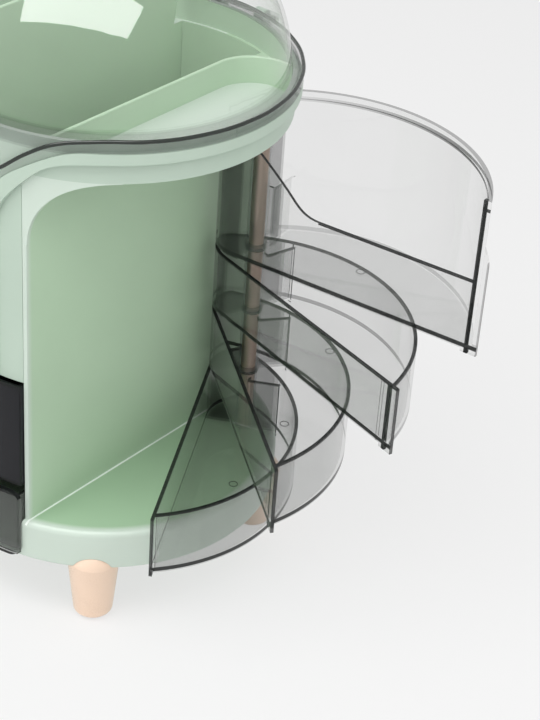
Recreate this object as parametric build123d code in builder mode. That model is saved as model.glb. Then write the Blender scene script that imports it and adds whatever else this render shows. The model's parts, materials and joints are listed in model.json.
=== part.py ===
"""Round makeup organizer: swing-out side trays, two front drawers and a clear dome lid."""
import os
from math import cos, radians, sin, sqrt

from build123d import *

os.makedirs("parts", exist_ok=True)

# Driving sizes in millimetres. Z is up, the front faces -Y, the floor is Z = 0.
BASE_RADIUS = 120.0          # round base, raised trim and lid skirt
TRIM_DEPTH = 4.0             # recessed wall of the frame and the deck, behind that radius
BASE_BOTTOM = 46.0           # height of the legs
BASE_THICK = 29.0
BASE_ROUND = 4.0             # upper edge of the base
UNDER_ROUND = 2.0            # lower edge of the base
WALL = 2.5                   # mint walls and panels
COLUMN_HALF = 37.0           # half the width of the middle column
TRIM_GAP = 0.2               # trim round the core
SEAT_GAP = 0.3               # pieces that stand beside each other
FIT_GAP = 0.05               # pins and rods in their holes
CORE_RADIUS = BASE_RADIUS - TRIM_DEPTH
BASE_TOP = BASE_BOTTOM + BASE_THICK
COLUMN_INNER = COLUMN_HALF - WALL
SIDES = {"right": 1, "left": -1}

# Swing trays, numbered from the top
TRAY_COUNT = 4
PIVOT_INSET = 17.65          # pivot behind the recessed wall
PIVOT_TURN = 47.06           # degrees from the X axis
TRAY_INSET = 3.0             # closed tray behind the recessed wall
TRAY_SIDE_GAP = 3.0          # closed tray beside the column
TRAY_WALL = 2.2
TRAY_PITCH = 49.0
TRAY_HEIGHT = 45.5
TRAY_START = 1.0             # gap between the base and the lowest tray
SLEEVE_DROP = 8.0            # sleeve below the panel of the top tray
TALL_HEIGHT = 104.5          # outer panel of the top tray
TALL_FRONT = 48.5            # straight wall of the top tray
TALL_RIM = 5.5
TALL_PULL = 60.0             # height where its pull starts to narrow
TALL_TAPER = 16.0            # narrowing part, which passes under the arch
TALL_GAP = 2.5               # between that panel and the deck
RIM_STEP = 0.8               # extra thickness of the panel's rim
PULL_ROOT = 7.7              # pull from before the tray's corner
PULL_PROUD = 3.3             # to beyond it
PULL_NECK = 1.7              # narrowed end of the top tray's pull, before the corner
PULL_DROP = 2.5              # below the tray, except on the lowest
OPEN_ANGLES = (96.0, 76.0, 53.0, 29.5)
POST_RADIUS = 5.0
POST_FOOT = 14.7             # depth of the posts in the base
POST_HEAD = 5.0              # depth of the posts in the deck
SLEEVE_RADIUS = 6.8
COLLAR_RADIUS = 7.6
COLLAR_GAP = 0.15
RIB_AT = 10.2                # cross rib in front of the post
RIB_START = 2.0
RIB_END_GAP = 0.4            # rib's end inside the hub's radius
RIB_THICK = 2.0
RIB_DROP = 3.0               # rib below the tray's edge
BOSS_AT = (7.0, -77.0)
BOSS_RADIUS = 3.2
BOSS_HEIGHT = 0.8
TRAY_RADIUS = CORE_RADIUS - TRAY_INSET
PIVOT_X = (CORE_RADIUS - PIVOT_INSET) * cos(radians(PIVOT_TURN))
PIVOT_Y = (CORE_RADIUS - PIVOT_INSET) * sin(radians(PIVOT_TURN))
HUB_RADIUS = PIVOT_X - COLUMN_HALF - TRAY_SIDE_GAP
RIB_END = HUB_RADIUS - RIB_END_GAP
TRAY_CORNER = PIVOT_Y + sqrt(TRAY_RADIUS ** 2 - (PIVOT_X - HUB_RADIUS) ** 2)
TRAY_BOTTOMS = [BASE_TOP + TRAY_START + TRAY_PITCH * (TRAY_COUNT - n) for n in range(1, TRAY_COUNT + 1)]

# Side openings, with their arches and the raised trim above them
ARCH_RADIUS = 48.0           # rounded upper corner of the side openings
ARCH_GAP = 0.5               # thin arch corners, clear of the closed trays
ARCH_STEP = 0.3              # thickness that the arch corners run out to
LEDGE_RISE = 14.0            # lower edge of the raised trim, above the openings
RING_HEIGHT = 7.0            # raised trim above that edge
OPENING_TOP = TRAY_BOTTOMS[0] + TALL_HEIGHT + TALL_GAP
ARCH_INNER_RADIUS = TRAY_RADIUS + ARCH_GAP
LEDGE_HEIGHT = OPENING_TOP + LEDGE_RISE
RING_TOP = LEDGE_HEIGHT + RING_HEIGHT
POST_Z = (BASE_TOP - POST_FOOT, OPENING_TOP + POST_HEAD)

# Front drawers
DRAWER_SIDE_GAP = 0.7
DRAWER_BACK = 62.0
DRAWER_WALL = 2.2
LOWER_FRONT_PROUD = 3.6      # lower drawer front, before the base
LOWER_FRONT_MARGIN = 1.0     # inside the column's width
LOWER_FRONT_LIFT = 1.5
LOWER_FRONT_HEIGHT = 52.0
LOWER_FRONT_ROUND = 8.0
LOWER_BOX_DROP = 3.5         # box below the upper edge of its front
UPPER_FRONT_BACK = 0.8       # upper drawer front, behind the base
UPPER_BOX_HEIGHT = 77.2
DRAWER_TOP_GAP = 2.0
SHELF_LIFT = 1.0
SHELF_THICK = 2.0
SHELF_FRONT_GAP = 12.0
SHELF_BACK_GAP = 8.0
TUNNEL_BACK_GAP = 2.0
DRAWER_HALF = COLUMN_INNER - DRAWER_SIDE_GAP
LOWER_FRONT_RADIUS = BASE_RADIUS + LOWER_FRONT_PROUD
LOWER_FRONT_HALF = COLUMN_HALF - LOWER_FRONT_MARGIN
LOWER_FRONT_BOTTOM = BASE_BOTTOM + LOWER_FRONT_LIFT
LOWER_BOX_BOTTOM = BASE_BOTTOM + WALL + SEAT_GAP
LOWER_BOX_HEIGHT = LOWER_FRONT_BOTTOM + LOWER_FRONT_HEIGHT - LOWER_BOX_DROP - LOWER_BOX_BOTTOM
SHELF_BOTTOM = LOWER_FRONT_BOTTOM + LOWER_FRONT_HEIGHT + SHELF_LIFT
UPPER_FRONT_RADIUS = BASE_RADIUS - UPPER_FRONT_BACK
UPPER_BOX_BOTTOM = SHELF_BOTTOM + SHELF_THICK + SEAT_GAP
COLUMN_FRONT_BOTTOM = UPPER_BOX_BOTTOM + UPPER_BOX_HEIGHT + DRAWER_TOP_GAP

# Top compartment: a deep well between two shelves, a low partition and an upright panel
DECK_THICK = 8.0
DECK_RIM = 3.0               # wall round the top compartment
DECK_PROUD = 5.0             # that wall above the trim
WELL_FLOOR_LIFT = 1.0
PARTITION_GAP = 12.5         # partition beside the column
PARTITION_BACK = 75.0        # where the partition has turned towards the rim
PARTITION_BEND = 28.0
PARTITION_THICK = 2.5
PARTITION_ROUND = 1.0
PANEL_RISE = 36.4            # upright panel above the foot of the dome
PANEL_GAP = 10.4             # between the panel's outline and the dome above it
DECK_FLOOR = OPENING_TOP + DECK_THICK
DECK_WALL_TOP = RING_TOP + DECK_PROUD
WELL_FLOOR_BOTTOM = COLUMN_FRONT_BOTTOM + WELL_FLOOR_LIFT
PARTITION_X = COLUMN_HALF + PARTITION_GAP

# Dome lid and its hinge
DOME_INSET = 4.0             # dome inside the recessed wall's radius
DOME_HEIGHT = 100.0
DOME_WALL = 2.2
LID_WALL = 2.4
LID_GAP = 0.6
FLANGE_RISE = 8.6            # flange of the lid above the trim
HINGE_BACK = 4.6             # hinge behind the base's radius
HINGE_RISE = 3.6             # hinge above the trim
HINGE_RADIUS = 3.8
PIN_RADIUS = 1.5
BRACKET_SPAN = (14.0, 22.0)
LUG_SPAN = (22.6, 30.0)
LUG_SINK = 0.4               # root of the lugs inside the recessed wall's radius
DOME_RADIUS = CORE_RADIUS - DOME_INSET
LID_FLANGE_TOP = RING_TOP + FLANGE_RISE
HINGE_Y = BASE_RADIUS + HINGE_BACK
HINGE_Z = RING_TOP + HINGE_RISE

# Legs
LEG_INSET = 13.0             # middle of a leg inside the base's radius
LEG_ANGLES = (40.0, 130.0, 230.0, 320.0)
LEG_TOP_RADIUS = 17.5
LEG_FOOT_RADIUS = 13.0
LEG_CROWN = 10.0
LEG_FOOT_ROUND = 4.0
PAD_RADIUS = 8.0
PAD_THICK = 1.5
STUD_RADIUS = 2.5
STUD_DOWN = 16.0             # stud in the leg
STUD_UP = 20.0               # stud in the base
LEG_CIRCLE = BASE_RADIUS - LEG_INSET
LEG_SPOTS = [(LEG_CIRCLE * sin(radians(a)), -LEG_CIRCLE * cos(radians(a))) for a in LEG_ANGLES]
STUD_Z = (BASE_BOTTOM - STUD_DOWN, BASE_BOTTOM + STUD_UP)


def save(part, label):
    """Names a finished piece and writes its file."""
    part.label = label
    export_step(part, f"parts/{label}.step")


def upright(x, y):
    """A vertical drawing plane through a point, facing the front."""
    return Plane(origin=(x, y, 0), x_dir=(1, 0, 0), z_dir=(0, -1, 0))


def leg_outline(foot_z, gap):
    """Half of the turned outline of a leg, drawn beside its axis."""
    with BuildLine() as outline:
        top = BASE_BOTTOM + LEG_CROWN + gap
        Line((0, foot_z), (LEG_FOOT_RADIUS + gap, foot_z))
        Line((LEG_FOOT_RADIUS + gap, foot_z), (LEG_TOP_RADIUS + gap, BASE_BOTTOM))
        crown_mid = (LEG_TOP_RADIUS * 0.72 + gap, BASE_BOTTOM + LEG_CROWN * 0.75 + gap)
        ThreePointArc((LEG_TOP_RADIUS + gap, BASE_BOTTOM), crown_mid, (0, top))
        Line((0, top), (0, foot_z))
    make_face(outline.edges())


def arch_outline(side):
    """Area of the recessed band round one side opening, seen from the front."""
    strip = 16.0
    corner_x = COLUMN_HALF + ARCH_RADIUS + 1.0
    corner_z = LEDGE_HEIGHT - 62.0
    bend = [(22.3, LEDGE_HEIGHT - 37.6), (40.5, LEDGE_HEIGHT - 15.1)]
    far = 1.5 * BASE_RADIUS
    low = BASE_BOTTOM
    with BuildLine() as outline:
        Line((side * strip, low), (side * strip, corner_z))
        Spline((side * strip, corner_z), *[(side * x, z) for x, z in bend],
               (side * corner_x, LEDGE_HEIGHT), tangents=((0, 1), (side, 0)))
        Polyline((side * corner_x, LEDGE_HEIGHT), (side * far, LEDGE_HEIGHT),
                 (side * far, low), (side * strip, low))
    make_face(outline.edges())


def lid_edge_outline(lift, limit):
    """Area between the lid edge, which dips at the front, and a far height."""
    dip = [(0, -42.5), (22.6, -27.7), (40.6, -13.4), (55.9, -4.4)]
    flat_x = 76.0
    level = RING_TOP + lift
    far = 1.5 * BASE_RADIUS
    right = [(x, level + z) for x, z in dip] + [(flat_x, level)]
    left = [(-x, z) for x, z in right]
    with BuildLine() as outline:
        Spline(*right, tangents=((1, 0), (1, 0)))
        Spline(*left, tangents=((-1, 0), (-1, 0)))
        Polyline((flat_x, level), (far, level), (far, limit),
                 (-far, limit), (-far, level), (-flat_x, level))
    make_face(outline.edges())


def tray_outline(side, inset):
    """Plan of a tray about its pivot when closed, drawn smaller by the inset."""
    reach = HUB_RADIUS - inset
    far = 2 * TRAY_RADIUS
    with Locations((side * (far / 2 - reach), -far / 2)):
        Rectangle(far, far)
    Circle(reach)
    with Locations((-side * PIVOT_X, -PIVOT_Y)):
        Circle(TRAY_RADIUS - inset, mode=Mode.INTERSECT)


def swept_outline():
    """Area cut from the straight wall of the top tray, seen from its side."""
    sweep_end = 62.0
    hub_height = TALL_HEIGHT - 10.0
    rise = hub_height - TALL_FRONT
    high = TALL_HEIGHT + 1.0
    start = 12.0
    neck = 5.2 - TRAY_CORNER
    with BuildLine() as outline:
        Spline((start, high), (0, hub_height), (-15.0, TALL_FRONT + 0.728 * rise),
               (-40.3, TALL_FRONT + 0.243 * rise), (-sweep_end, TALL_FRONT), tangents=((-1, -0.9), (-1, 0)))
        Polyline((-sweep_end, TALL_FRONT), (neck, TALL_FRONT), (neck, high), (start, high))
    make_face(outline.edges())


def pull_outline(drop, tall):
    """A pull seen from its side; the one on the top tray narrows as it rises."""
    straight = TALL_PULL if tall else TRAY_HEIGHT
    root = PULL_ROOT - TRAY_CORNER
    end = -TRAY_CORNER - PULL_PROUD
    with BuildLine() as outline:
        Polyline((root, straight), (root, -drop), (end, -drop), (end, straight))
        if tall:
            neck = (PULL_NECK - TRAY_CORNER, straight + TALL_TAPER)
            Spline((end, straight), neck, tangents=((0, 1), (0.3, 1)))
            Polyline(neck, (root, straight + TALL_TAPER), (root, straight))
        else:
            Line((end, straight), (root, straight))
    make_face(outline.edges())


def dome_points(low, inset):
    """Points along the quarter ellipse of the dome, drawn smaller by the inset."""
    width = DOME_RADIUS - inset
    height = DOME_HEIGHT - inset
    return [(width * cos(radians(a)), low + height * sin(radians(a))) for a in range(0, 91, 15)]


def drawer_plan(front_radius, inset):
    """Plan of a drawer with a curved front, drawn smaller by the inset."""
    far = 1.2 * BASE_RADIUS
    with Locations((0, (DRAWER_BACK - inset - far) / 2)):
        Rectangle(2 * (DRAWER_HALF - inset), DRAWER_BACK - inset + far)
    Circle(front_radius - inset, mode=Mode.INTERSECT)


# Round base with a tunnel for the lower drawer, sockets for the legs and posts
with BuildPart() as base:
    with BuildSketch(Plane.XY.offset(BASE_BOTTOM)):
        Circle(BASE_RADIUS)
    extrude(amount=BASE_TOP - BASE_BOTTOM)
    fillet(base.edges().group_by(Axis.Z)[-1], BASE_ROUND)
    fillet(base.edges().group_by(Axis.Z)[0], UNDER_ROUND)
    tunnel_back = DRAWER_BACK + TUNNEL_BACK_GAP
    tunnel_front = -1.2 * BASE_RADIUS
    with BuildSketch(Plane.XY.offset(BASE_BOTTOM + WALL)):
        with Locations((0, (tunnel_back + tunnel_front) / 2)):
            Rectangle(2 * COLUMN_INNER, tunnel_back - tunnel_front)
    extrude(amount=BASE_TOP, mode=Mode.SUBTRACT)
    for spot in LEG_SPOTS:
        with BuildSketch(upright(*spot)):
            leg_outline(BASE_BOTTOM - 10.0, SEAT_GAP)
        revolve(axis=Axis((*spot, 0), (0, 0, 1)), mode=Mode.SUBTRACT)
    with BuildSketch(Plane.XY.offset(BASE_BOTTOM)):
        with Locations(*LEG_SPOTS):
            Circle(STUD_RADIUS + FIT_GAP)
    extrude(amount=STUD_Z[1] - BASE_BOTTOM + SEAT_GAP, mode=Mode.SUBTRACT)
    with BuildSketch(Plane.XY.offset(BASE_TOP)):
        with Locations((PIVOT_X, PIVOT_Y), (-PIVOT_X, PIVOT_Y)):
            Circle(POST_RADIUS + FIT_GAP)
    extrude(amount=POST_Z[0] - SEAT_GAP - BASE_TOP, mode=Mode.SUBTRACT)
save(base.part, "base")

# Legs with a rounded crown, rubber pads and the studs that hold them
for number, spot in enumerate(LEG_SPOTS, start=1):
    with BuildPart() as leg:
        with BuildSketch(upright(*spot)):
            leg_outline(PAD_THICK, 0.0)
        revolve(axis=Axis((*spot, 0), (0, 0, 1)))
        fillet(leg.edges().group_by(Axis.Z)[0], LEG_FOOT_ROUND)
        with BuildSketch(Plane.XY.offset(STUD_Z[0] - SEAT_GAP)):
            with Locations(spot):
                Circle(STUD_RADIUS + FIT_GAP)
        extrude(amount=BASE_TOP, mode=Mode.SUBTRACT)
    save(leg.part, f"leg_{number}")

with BuildPart() as pads:
    with BuildSketch():
        with Locations(*LEG_SPOTS):
            Circle(PAD_RADIUS)
    extrude(amount=PAD_THICK)
save(pads.part, "foot_pads")

with BuildPart() as studs:
    with BuildSketch(Plane.XY.offset(STUD_Z[0])):
        with Locations(*LEG_SPOTS):
            Circle(STUD_RADIUS)
    extrude(amount=STUD_Z[1] - STUD_Z[0])
save(studs.part, "leg_studs")

# Side frames: the dividing walls that flare into the arched openings
for name, side in SIDES.items():
    arch_x = side * (COLUMN_HALF + ARCH_RADIUS)
    arch_z = OPENING_TOP - ARCH_RADIUS
    slant = (ARCH_RADIUS - ARCH_STEP) * sqrt(0.5)
    arch_start = side * (COLUMN_HALF + ARCH_STEP)
    arch_end = OPENING_TOP - ARCH_STEP
    with BuildPart() as side_frame:
        with BuildSketch(Plane.XZ.offset(-CORE_RADIUS)):
            with BuildLine():
                Polyline((arch_start, arch_z), (side * COLUMN_HALF, arch_z),
                         (side * COLUMN_HALF, BASE_TOP), (side * COLUMN_INNER, BASE_TOP),
                         (side * COLUMN_INNER, OPENING_TOP), (arch_x, OPENING_TOP),
                         (arch_x, arch_end))
                ThreePointArc((arch_x, arch_end), (arch_x - side * slant, arch_z + slant),
                              (arch_start, arch_z))
            make_face()
        extrude(amount=2 * CORE_RADIUS)
        with BuildSketch():
            Circle(CORE_RADIUS)
        extrude(amount=OPENING_TOP, mode=Mode.INTERSECT)
        with BuildSketch():
            Circle(ARCH_INNER_RADIUS)
            with Locations((0, BASE_RADIUS)):
                Rectangle(2 * BASE_RADIUS, 2 * BASE_RADIUS)
            with Locations((side * (COLUMN_HALF - BASE_RADIUS), 0)):
                Rectangle(2 * BASE_RADIUS, 6 * BASE_RADIUS, mode=Mode.SUBTRACT)
        extrude(amount=OPENING_TOP, mode=Mode.SUBTRACT)
    save(side_frame.part, f"side_frame_{name}")

# Panels that close the middle column at the front and the back
panel_half = COLUMN_INNER - SEAT_GAP
for label, facing, bottom in (("column_front", -1, COLUMN_FRONT_BOTTOM), ("column_back", 1, BASE_TOP)):
    with BuildPart() as panel:
        with BuildSketch(Plane.XY.offset(bottom)):
            Circle(CORE_RADIUS)
            Circle(CORE_RADIUS - 2 * WALL, mode=Mode.SUBTRACT)
            with Locations((0, facing * CORE_RADIUS)):
                Rectangle(2 * panel_half, CORE_RADIUS, mode=Mode.INTERSECT)
        extrude(amount=OPENING_TOP - bottom)
    save(panel.part, label)

# Shelf between the drawers, and the floor of the well above them
with BuildPart() as shelf:
    shelf_back = CORE_RADIUS - 2 * WALL - SHELF_BACK_GAP
    shelf_front = BASE_RADIUS - SHELF_FRONT_GAP
    with BuildSketch(Plane.XY.offset(SHELF_BOTTOM)):
        with Locations((0, (shelf_back - shelf_front) / 2)):
            Rectangle(2 * panel_half, shelf_back + shelf_front)
    extrude(amount=SHELF_THICK)
save(shelf.part, "drawer_shelf")

well_radius = CORE_RADIUS - 2 * WALL
with BuildPart() as well_floor:
    with BuildSketch(Plane.XY.offset(WELL_FLOOR_BOTTOM)):
        Circle(well_radius - SEAT_GAP)
        Rectangle(2 * panel_half, 2 * CORE_RADIUS, mode=Mode.INTERSECT)
    extrude(amount=WALL)
save(well_floor.part, "well_floor")

# Deck of the top compartment: two shelves inside a rim, open over the well
with BuildPart() as deck:
    with BuildSketch(Plane.XY.offset(OPENING_TOP)):
        Circle(CORE_RADIUS)
    extrude(amount=DECK_WALL_TOP - OPENING_TOP)
    with BuildSketch(Plane.XY.offset(DECK_FLOOR)):
        Circle(CORE_RADIUS - DECK_RIM)
    extrude(amount=DECK_WALL_TOP, mode=Mode.SUBTRACT)
    with BuildSketch(Plane.XY.offset(OPENING_TOP)):
        Circle(well_radius)
        Rectangle(2 * COLUMN_INNER, 2 * CORE_RADIUS, mode=Mode.INTERSECT)
    extrude(amount=DECK_FLOOR - OPENING_TOP, mode=Mode.SUBTRACT)
    with BuildSketch(Plane.XY.offset(OPENING_TOP)):
        with Locations((PIVOT_X, PIVOT_Y), (-PIVOT_X, PIVOT_Y)):
            Circle(POST_RADIUS + FIT_GAP)
    extrude(amount=POST_Z[1] - OPENING_TOP + SEAT_GAP, mode=Mode.SUBTRACT)
save(deck.part, "top_deck")

# Low partition that bends round the right shelf
with BuildPart() as partition:
    far = 3 * CORE_RADIUS
    half_thick = PARTITION_THICK / 2
    with BuildSketch(Plane.XY.offset(DECK_FLOOR)):
        with Locations((PARTITION_X + far / 2, PARTITION_BACK - far / 2)):
            RectangleRounded(far + PARTITION_THICK, far + PARTITION_THICK, PARTITION_BEND + half_thick)
            RectangleRounded(far - PARTITION_THICK, far - PARTITION_THICK, PARTITION_BEND - half_thick,
                             mode=Mode.SUBTRACT)
        Circle(CORE_RADIUS - DECK_RIM - SEAT_GAP, mode=Mode.INTERSECT)
    extrude(amount=DECK_WALL_TOP - DECK_FLOOR)
    fillet(partition.edges().group_by(Axis.Z)[-1], PARTITION_ROUND)
save(partition.part, "deck_partition")

# Upright panel beside the well, shaped to stand under the dome
with BuildPart() as well_panel:
    dome_foot = LID_FLANGE_TOP - DOME_WALL
    panel_top = LID_FLANGE_TOP + PANEL_RISE
    with BuildSketch(Plane.YZ.offset(-COLUMN_HALF)):
        with Locations((0, dome_foot)):
            Ellipse(DOME_RADIUS - DOME_WALL - PANEL_GAP, DOME_HEIGHT - DOME_WALL - PANEL_GAP)
        with Locations((0, (DECK_FLOOR + panel_top) / 2)):
            Rectangle(2 * DOME_RADIUS, panel_top - DECK_FLOOR, mode=Mode.INTERSECT)
    extrude(amount=WALL)
    fillet(well_panel.edges().group_by(Axis.Z)[-1], PARTITION_ROUND)
save(well_panel.part, "well_panel")

# Raised trim round the arches, with the hinge brackets at the back
with BuildPart() as trim:
    with BuildSketch(Plane.XY.offset(COLUMN_FRONT_BOTTOM)):
        Circle(BASE_RADIUS)
        Circle(CORE_RADIUS + TRIM_GAP, mode=Mode.SUBTRACT)
    extrude(amount=RING_TOP - COLUMN_FRONT_BOTTOM)
    for side in SIDES.values():
        with BuildSketch(Plane.XZ.offset(-1.1 * BASE_RADIUS)):
            arch_outline(side)
        extrude(amount=2.2 * BASE_RADIUS, mode=Mode.SUBTRACT)
    with BuildSketch(Plane.XZ):
        lid_edge_outline(0.0, RING_TOP + BASE_RADIUS / 2)
    extrude(amount=1.1 * BASE_RADIUS, mode=Mode.SUBTRACT)
    bracket_middle = sum(BRACKET_SPAN) / 2
    bracket_width = BRACKET_SPAN[1] - BRACKET_SPAN[0]
    bracket_root = (CORE_RADIUS + BASE_RADIUS) / 2
    for side in SIDES.values():
        with BuildSketch(Plane.YZ.offset(side * bracket_middle)):
            with Locations((HINGE_Y, HINGE_Z)):
                Circle(HINGE_RADIUS)
            with Locations((HINGE_Y, (LEDGE_HEIGHT + HINGE_Z) / 2)):
                Rectangle(2 * HINGE_RADIUS, HINGE_Z - LEDGE_HEIGHT)
            with Locations(((HINGE_Y + bracket_root) / 2, (LEDGE_HEIGHT + RING_TOP) / 2)):
                Rectangle(HINGE_Y - bracket_root, RING_TOP - LEDGE_HEIGHT)
            with Locations((HINGE_Y, HINGE_Z)):
                Circle(PIN_RADIUS, mode=Mode.SUBTRACT)
        extrude(amount=bracket_width / 2, both=True)
save(trim.part, "arch_trim")

# Clear dome lid: skirt with a front tongue, flange, dome and hinge lugs
with BuildPart() as lid:
    skirt_low = RING_TOP - 61.0
    skirt_inner = BASE_RADIUS - LID_WALL
    flange_low = LID_FLANGE_TOP - DOME_WALL
    with BuildSketch(Plane.XZ):
        with BuildLine():
            Polyline((skirt_inner, flange_low), (skirt_inner, skirt_low), (BASE_RADIUS, skirt_low),
                     (BASE_RADIUS, LID_FLANGE_TOP), (DOME_RADIUS - DOME_WALL / 2, LID_FLANGE_TOP),
                     (DOME_RADIUS - DOME_WALL / 2, flange_low), close=True)
        make_face()
    revolve(axis=Axis.Z)
    lid_low = RING_TOP + LID_GAP
    with BuildSketch(Plane.XY.offset(skirt_low)):
        with Locations((0, BASE_RADIUS)):
            Rectangle(3 * BASE_RADIUS, 2 * BASE_RADIUS)
    extrude(amount=lid_low - skirt_low, mode=Mode.SUBTRACT)
    with BuildSketch(Plane.XZ):
        lid_edge_outline(LID_GAP, skirt_low - 10.0)
    extrude(amount=1.1 * BASE_RADIUS, mode=Mode.SUBTRACT)
    lug_middle = sum(LUG_SPAN) / 2
    lug_width = LUG_SPAN[1] - LUG_SPAN[0]
    lug_root = CORE_RADIUS - LUG_SINK
    lug_top = HINGE_Z + HINGE_RADIUS
    for side in SIDES.values():
        with BuildSketch(Plane.YZ.offset(side * lug_middle)):
            with Locations((HINGE_Y, HINGE_Z)):
                Circle(HINGE_RADIUS)
            with Locations(((HINGE_Y + lug_root) / 2, (lid_low + lug_top) / 2)):
                Rectangle(HINGE_Y - lug_root, lug_top - lid_low)
        extrude(amount=lug_width / 2, both=True)
    with BuildSketch(Plane.YZ):
        with Locations((HINGE_Y, HINGE_Z)):
            Circle(PIN_RADIUS + FIT_GAP)
    extrude(amount=BASE_RADIUS, both=True, mode=Mode.SUBTRACT)
    with BuildSketch(Plane.XZ):
        with BuildLine():
            Spline(*dome_points(flange_low, 0.0), tangents=((0, 1), (-1, 0)))
            Line((0, flange_low + DOME_HEIGHT), (0, flange_low + DOME_HEIGHT - DOME_WALL))
            Spline(*dome_points(flange_low, DOME_WALL), tangents=((0, 1), (-1, 0)))
            Line((DOME_RADIUS, flange_low), (DOME_RADIUS - DOME_WALL, flange_low))
        make_face()
    revolve(axis=Axis.Z)
save(lid.part, "lid")

with BuildPart() as hinge_pin:
    with BuildSketch(Plane.YZ):
        with Locations((HINGE_Y, HINGE_Z)):
            Circle(PIN_RADIUS)
    extrude(amount=LUG_SPAN[1] + 1.0, both=True)
save(hinge_pin.part, "hinge_pin")

# Front drawers
with BuildPart() as lower_drawer:
    box_radius = LOWER_FRONT_RADIUS - 1.0
    with BuildSketch(Plane.XY.offset(LOWER_FRONT_BOTTOM)):
        Circle(LOWER_FRONT_RADIUS)
        Circle(BASE_RADIUS + LID_GAP, mode=Mode.SUBTRACT)
    extrude(amount=LOWER_FRONT_HEIGHT)
    with BuildSketch(Plane.XZ):
        with Locations((0, LOWER_FRONT_BOTTOM + LOWER_FRONT_HEIGHT / 2)):
            RectangleRounded(2 * LOWER_FRONT_HALF, LOWER_FRONT_HEIGHT, LOWER_FRONT_ROUND)
    extrude(amount=1.2 * BASE_RADIUS, mode=Mode.INTERSECT)
    with BuildSketch(Plane.XY.offset(LOWER_BOX_BOTTOM)):
        drawer_plan(box_radius, 0.0)
    extrude(amount=LOWER_BOX_HEIGHT)
    with BuildSketch(Plane.XY.offset(LOWER_BOX_BOTTOM + DRAWER_WALL)):
        drawer_plan(box_radius, DRAWER_WALL)
    extrude(amount=LOWER_FRONT_HEIGHT, mode=Mode.SUBTRACT)
save(lower_drawer.part, "drawer_lower")

with BuildPart() as upper_drawer:
    with BuildSketch(Plane.XY.offset(UPPER_BOX_BOTTOM)):
        drawer_plan(UPPER_FRONT_RADIUS, 0.0)
    extrude(amount=UPPER_BOX_HEIGHT)
    with BuildSketch(Plane.XY.offset(UPPER_BOX_BOTTOM + DRAWER_WALL)):
        drawer_plan(UPPER_FRONT_RADIUS, DRAWER_WALL)
    extrude(amount=UPPER_BOX_HEIGHT, mode=Mode.SUBTRACT)
save(upper_drawer.part, "drawer_upper")

# Posts and the collars that space the trays
for name, side in SIDES.items():
    spot = (side * PIVOT_X, PIVOT_Y)
    with BuildPart() as post:
        with BuildSketch(Plane.XY.offset(POST_Z[0])):
            with Locations(spot):
                Circle(POST_RADIUS)
        extrude(amount=POST_Z[1] - POST_Z[0])
    save(post.part, f"post_{name}")

    with BuildPart() as collars:
        undersides = sorted(TRAY_BOTTOMS)
        for lower, upper in zip([BASE_TOP] + [z + TRAY_HEIGHT for z in undersides], undersides):
            lift = 0.0 if lower == BASE_TOP else COLLAR_GAP
            with BuildSketch(Plane.XY.offset(lower + lift)):
                with Locations(spot):
                    Circle(COLLAR_RADIUS)
                    Circle(POST_RADIUS + FIT_GAP, mode=Mode.SUBTRACT)
            extrude(amount=upper - lower - lift - COLLAR_GAP)
    save(collars.part, f"post_collars_{name}")

# Swing trays, fanned open as they stand in the picture
for name, side in SIDES.items():
    for number, (bottom, angle) in enumerate(zip(TRAY_BOTTOMS, OPEN_ANGLES), start=1):
        tall = number == 1
        lowest = number == len(TRAY_BOTTOMS)
        height = TALL_HEIGHT if tall else TRAY_HEIGHT
        sleeve_height = TALL_HEIGHT - SLEEVE_DROP if tall else TRAY_HEIGHT
        drop = 0.0 if lowest else PULL_DROP
        floor = Plane((side * PIVOT_X, PIVOT_Y, bottom)).rotated((0, 0, side * angle))
        inside = floor.offset(TRAY_WALL)
        wall_middle = floor.from_local_coords((side * (TRAY_WALL / 2 - HUB_RADIUS), 0, 0))
        wall_plane = Plane(origin=wall_middle, x_dir=floor.y_dir, z_dir=floor.x_dir)
        with BuildPart() as tray:
            with BuildSketch(floor):
                tray_outline(side, 0.0)
            extrude(amount=height)
            with BuildSketch(inside):
                tray_outline(side, TRAY_WALL)
            extrude(amount=height, mode=Mode.SUBTRACT)
            # Pull at the end of the straight wall
            with BuildSketch(wall_plane):
                pull_outline(drop, tall)
            extrude(amount=TRAY_WALL / 2, both=True)
            # Sleeve round the post, the rib that carries it and a small boss on the floor
            with BuildSketch(floor):
                Circle(SLEEVE_RADIUS)
            extrude(amount=sleeve_height)
            with BuildSketch(floor):
                with Locations((side * (RIB_START + RIB_END) / 2, -RIB_AT)):
                    Rectangle(RIB_END - RIB_START, RIB_THICK)
                with Locations((side * (RIB_START + RIB_THICK / 2), -(RIB_AT + POST_RADIUS) / 2)):
                    Rectangle(RIB_THICK, RIB_AT - POST_RADIUS)
            extrude(amount=TRAY_HEIGHT - RIB_DROP)
            with BuildSketch(floor):
                with Locations((side * BOSS_AT[0], BOSS_AT[1])):
                    Circle(BOSS_RADIUS)
            extrude(amount=TRAY_WALL + BOSS_HEIGHT)
            with BuildSketch(floor):
                Circle(POST_RADIUS + FIT_GAP)
            extrude(amount=height, mode=Mode.SUBTRACT)
            if tall:
                # Thicker rim along the top, and the straight wall swept down from the hub
                rim_floor = floor.offset(TALL_HEIGHT - TALL_RIM)
                with BuildSketch(rim_floor):
                    tray_outline(side, 0.0)
                extrude(amount=TALL_RIM)
                with BuildSketch(rim_floor):
                    tray_outline(side, TRAY_WALL + RIM_STEP)
                extrude(amount=TALL_RIM, mode=Mode.SUBTRACT)
                with BuildSketch(wall_plane):
                    swept_outline()
                extrude(amount=TRAY_WALL / 2 + 2 * RIM_STEP, both=True, mode=Mode.SUBTRACT)
        save(tray.part, f"tray_{name}_{number}")
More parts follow.
